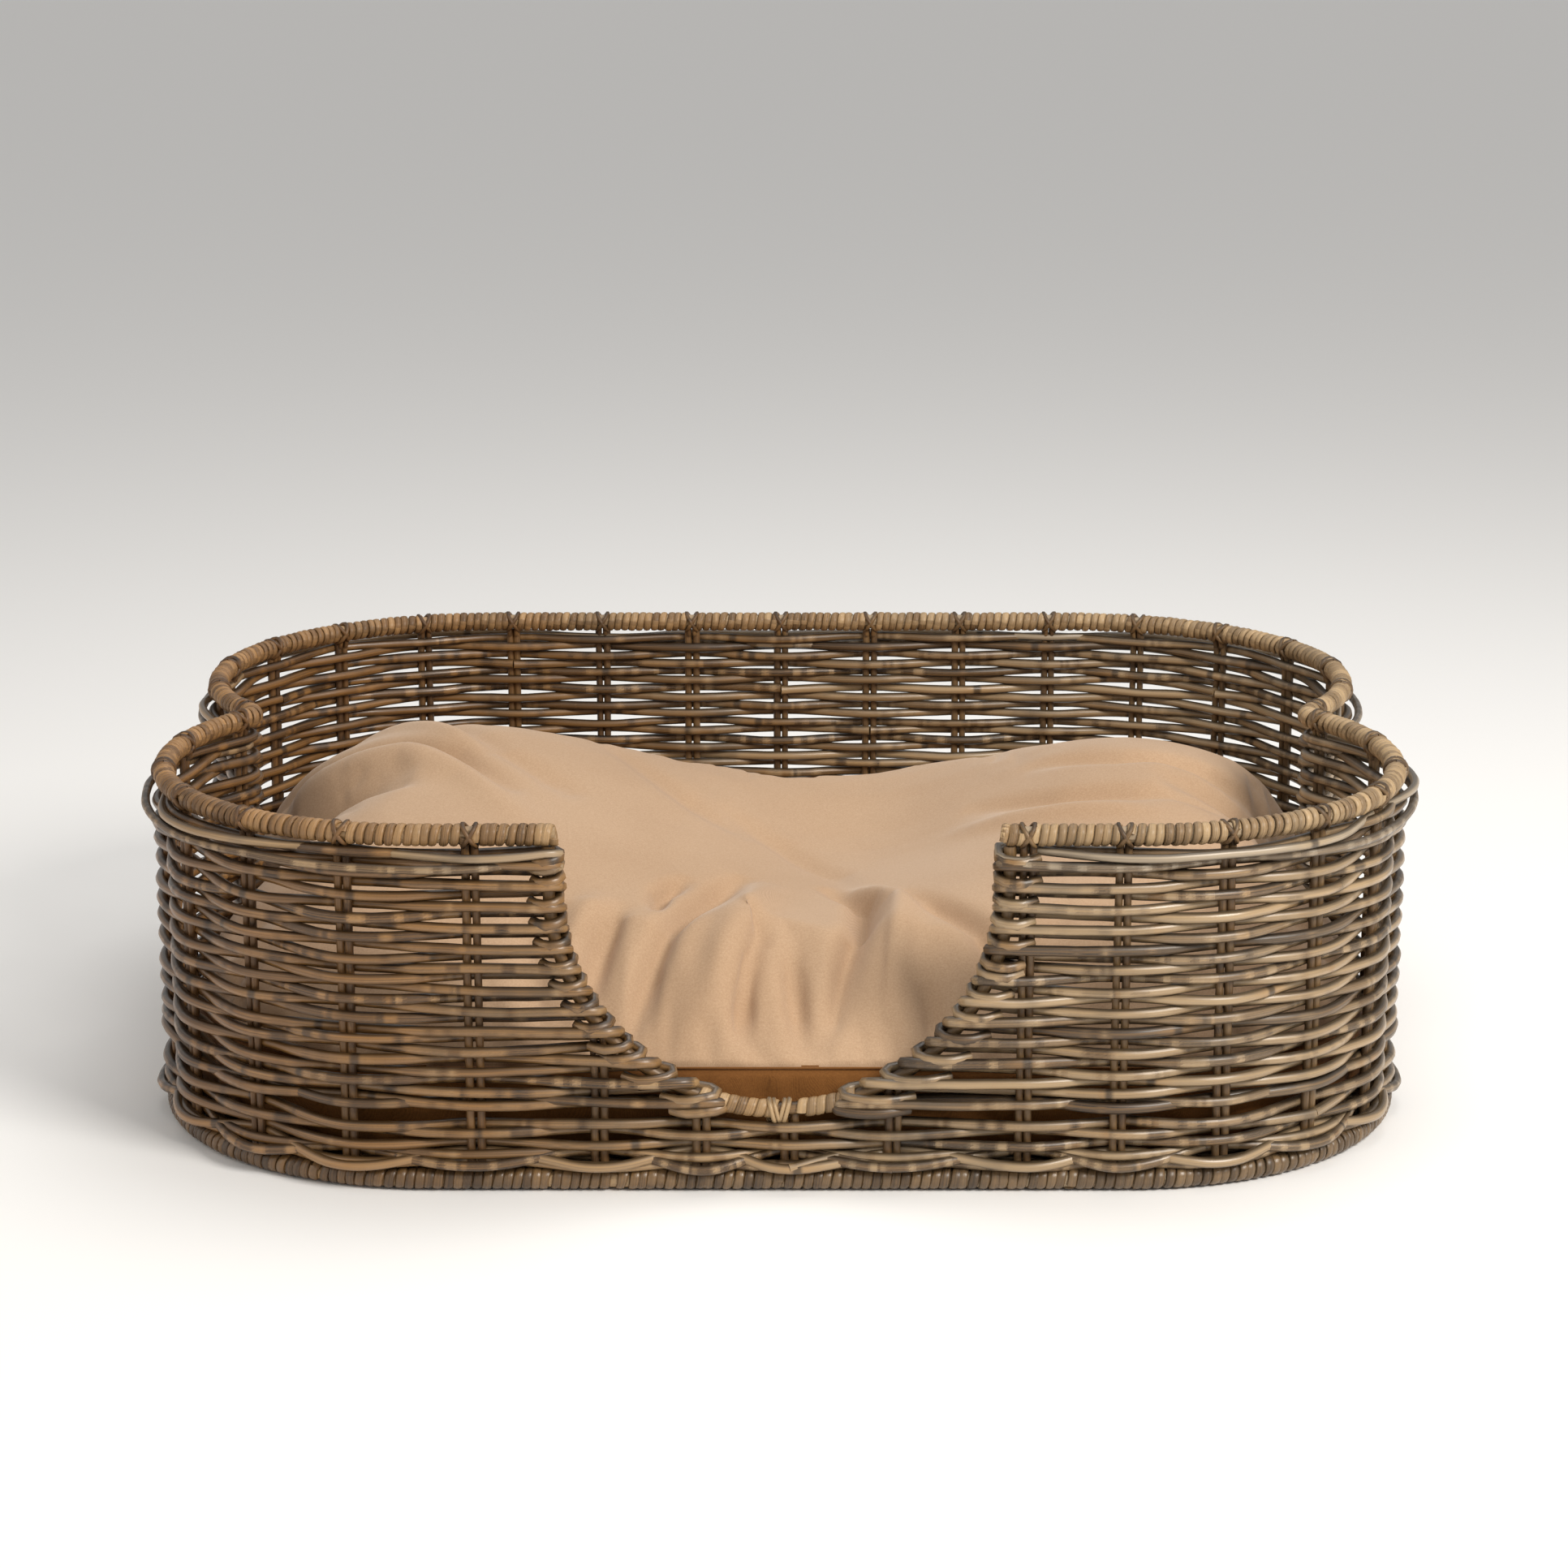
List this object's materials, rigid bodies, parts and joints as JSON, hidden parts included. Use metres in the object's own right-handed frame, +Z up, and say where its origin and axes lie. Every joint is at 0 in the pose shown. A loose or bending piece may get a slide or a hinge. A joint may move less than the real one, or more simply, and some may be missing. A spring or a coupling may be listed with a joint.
{
  "type": "wicker pet bed basket",
  "caption": "Low bone-shaped woven rattan pet basket with a wrapped rim, a rounded entry scoop in the front wall and a boxed zip-cover cushion.",
  "frame": {"origin": "on the floor, under the middle of the basket", "axes": "+X along the basket's length, +Y towards the back wall, +Z up; the entry scoop faces -Y"},
  "size_m": [0.9066, 0.6906, 0.2591],
  "materials": {
    "rattan_pole": "matte",
    "rattan_stake": "matte",
    "rattan_weaver": "satin",
    "rattan_peel": "satin",
    "nail_steel": "satin",
    "cover_canvas": "matte",
    "gusset_canvas": "matte",
    "pad_ticking": "matte",
    "pad_fibre": "matte",
    "zip_tape": "matte",
    "zip_nylon": "satin",
    "zip_metal": "satin"
  },
  "bodies": {
    "basket": {"base_hoop": "rattan_pole", "base_hoop_wrap": "rattan_peel", "base_batten_left": "rattan_pole", "base_batten_middle": "rattan_pole", "base_batten_right": "rattan_pole", "base_weave": "rattan_weaver", "base_nails": "nail_steel", "front_stakes": "rattan_stake", "right_stakes": "rattan_stake", "back_stakes": "rattan_stake", "left_stakes": "rattan_stake", "outer_weave_front_left": "rattan_weaver", "outer_weave_sill": "rattan_weaver", "outer_weave_front_right": "rattan_weaver", "outer_weave_right_front_lobe": "rattan_weaver", "outer_weave_right_notch": "rattan_weaver", "outer_weave_right_back_lobe": "rattan_weaver", "outer_weave_back": "rattan_weaver", "outer_weave_left_back_lobe": "rattan_weaver", "outer_weave_left_notch": "rattan_weaver", "outer_weave_left_front_lobe": "rattan_weaver", "inner_weave_front_left": "rattan_weaver", "inner_weave_sill": "rattan_weaver", "inner_weave_front_right": "rattan_weaver", "inner_weave_right_end": "rattan_weaver", "inner_weave_back": "rattan_weaver", "inner_weave_left_end": "rattan_weaver", "bottom_wale": "rattan_weaver", "top_wale": "rattan_weaver", "scoop_rail": "rattan_pole", "sill_wrap": "rattan_peel", "rim_hoop": "rattan_pole", "rim_wrap": "rattan_peel", "rim_lashings": "rattan_peel", "rim_nails": "nail_steel"},
    "cushion": {"cover_bottom": "gusset_canvas", "cover_gusset": "gusset_canvas", "cover_top": "cover_canvas", "pad_casing_lower": "pad_ticking", "pad_casing_upper": "pad_ticking", "pad_filling": "pad_fibre", "zip_tapes": "zip_tape", "zip_coils": "zip_nylon", "zip_stops": "zip_metal"},
    "zip_slider": {"zip_slider": "zip_metal"},
    "zip_pull": {"zip_pull": "zip_metal"}
  },
  "joints": [
    {"name": "cushion_lift", "type": "slide", "parent": "basket", "child": "cushion", "axis": [0, 0, 1], "range_m": [0, 0.3]},
    {"name": "zip_slide", "type": "slide", "parent": "cushion", "child": "zip_slider", "axis": [1, 0, 0], "range_m": [0, 0.423]},
    {"name": "zip_pull_swing", "type": "hinge", "parent": "zip_slider", "child": "zip_pull", "pos_m": [-0.2115, 0.3145, 0.0476], "axis": [0, 1, 0], "range_deg": [-75, 75]}
  ]
}
